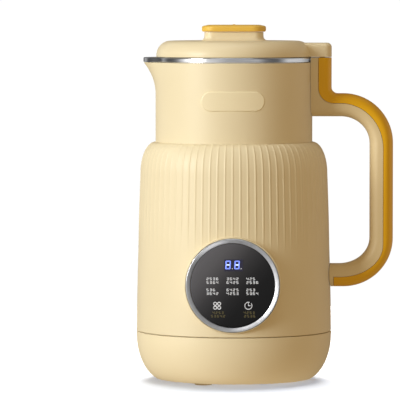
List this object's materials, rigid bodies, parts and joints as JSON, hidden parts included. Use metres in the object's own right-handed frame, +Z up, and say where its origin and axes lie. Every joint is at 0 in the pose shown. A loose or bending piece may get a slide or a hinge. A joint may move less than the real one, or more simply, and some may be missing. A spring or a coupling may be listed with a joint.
{
  "type": "soy milk maker",
  "caption": "Countertop soy milk maker: heated blending cup in a ribbed housing with a round touch panel, spout, side handle and lift-off lid.",
  "frame": {"origin": "on the surface that the feet stand on, under the middle of the whole part's box; the cup's axis is 22.45 mm towards -X", "axes": "+Z up along the cup's axis, +X from the spout towards the handle, -Y out of the touch panel"},
  "size_m": [0.187, 0.1453, 0.2602],
  "materials": {
    "cream_plastic": "satin cream moulding with a fine grain",
    "amber_plastic": "satin amber yellow moulding",
    "ivory_plastic": "natural food-safe plastic",
    "black_plastic": "black moulding",
    "panel_glass": "polished smoked window",
    "bezel_metal": "satin silver ring",
    "cup_steel": "brushed inside, polished rim",
    "steel": "plain machined or ground steel",
    "aluminium": "cast, unpainted",
    "copper": null,
    "bronze": "sintered bronze or spring bronze",
    "carbon": "pressed carbon",
    "board": "green circuit board",
    "silicone": "translucent white silicone",
    "rubber": "black rubber"
  },
  "bodies": {
    "jug": {"base_cover": "cream_plastic", "foot_1": "rubber", "foot_2": "rubber", "foot_3": "rubber", "base_screw_1": "steel", "base_screw_2": "steel", "base_screw_3": "steel", "outer_housing": "cream_plastic", "neck_sleeve": "cream_plastic", "inner_cup": "cup_steel", "heat_spreader": "aluminium", "heating_element": "steel", "thermostat": "black_plastic", "temperature_probe": "steel", "seal_housing": "steel", "seal_nut": "steel", "shaft_seal": "rubber", "shaft_bush": "bronze", "chassis": "ivory_plastic", "upper_bracket": "aluminium", "lower_bracket": "black_plastic", "stator_core": "steel", "field_coil_front": "copper", "field_coil_rear": "copper", "upper_bearing": "steel", "lower_bearing": "steel", "carbon_brush_front": "carbon", "carbon_brush_rear": "carbon", "motor_bolt_left": "steel", "motor_bolt_right": "steel", "motor_screw_front": "steel", "motor_screw_rear": "steel", "panel_window": "panel_glass", "panel_bezel": "bezel_metal", "digit_display": "black_plastic", "control_board": "board", "key_spring_left": "bronze", "key_spring_right": "bronze", "power_board": "board", "power_inlet": "black_plastic", "handle_body": "cream_plastic", "handle_grip": "amber_plastic", "handle_screw_upper": "steel", "handle_screw_lower": "steel", "lid_switch": "black_plastic", "switch_harness": "black_plastic", "plunger_spring": "steel"},
    "lid": {"lid_cover": "cream_plastic", "lid_base": "ivory_plastic", "lid_gasket": "silicone", "knob_cap": "amber_plastic", "overflow_probe": "steel"},
    "plunger": {"switch_plunger": "ivory_plastic"},
    "blade_rotor": {"motor_shaft": "steel", "rotor_core": "steel", "commutator": "copper", "cooling_fan": "black_plastic", "lower_blade": "steel", "upper_blade": "steel", "blade_nut": "steel"}
  },
  "joints": [
    {"name": "lid_lift", "type": "slide", "parent": "jug", "child": "lid", "axis": [0, 0, 1], "range_m": [0, 0.06]},
    {"name": "plunger_slide", "type": "slide", "parent": "jug", "child": "plunger", "axis": [0, 0, 1], "range_m": [0, 0.002], "deforming": ["plunger_spring"]},
    {"name": "blade_spin", "type": "hinge", "parent": "jug", "child": "blade_rotor", "pos_m": [-0.02245, 0, 0.1], "axis": [0, 0, 1], "continuous": true}
  ],
  "couplings": [
    {"joint": "plunger_slide", "follows": "lid_lift", "ratio": 0.0333}
  ]
}
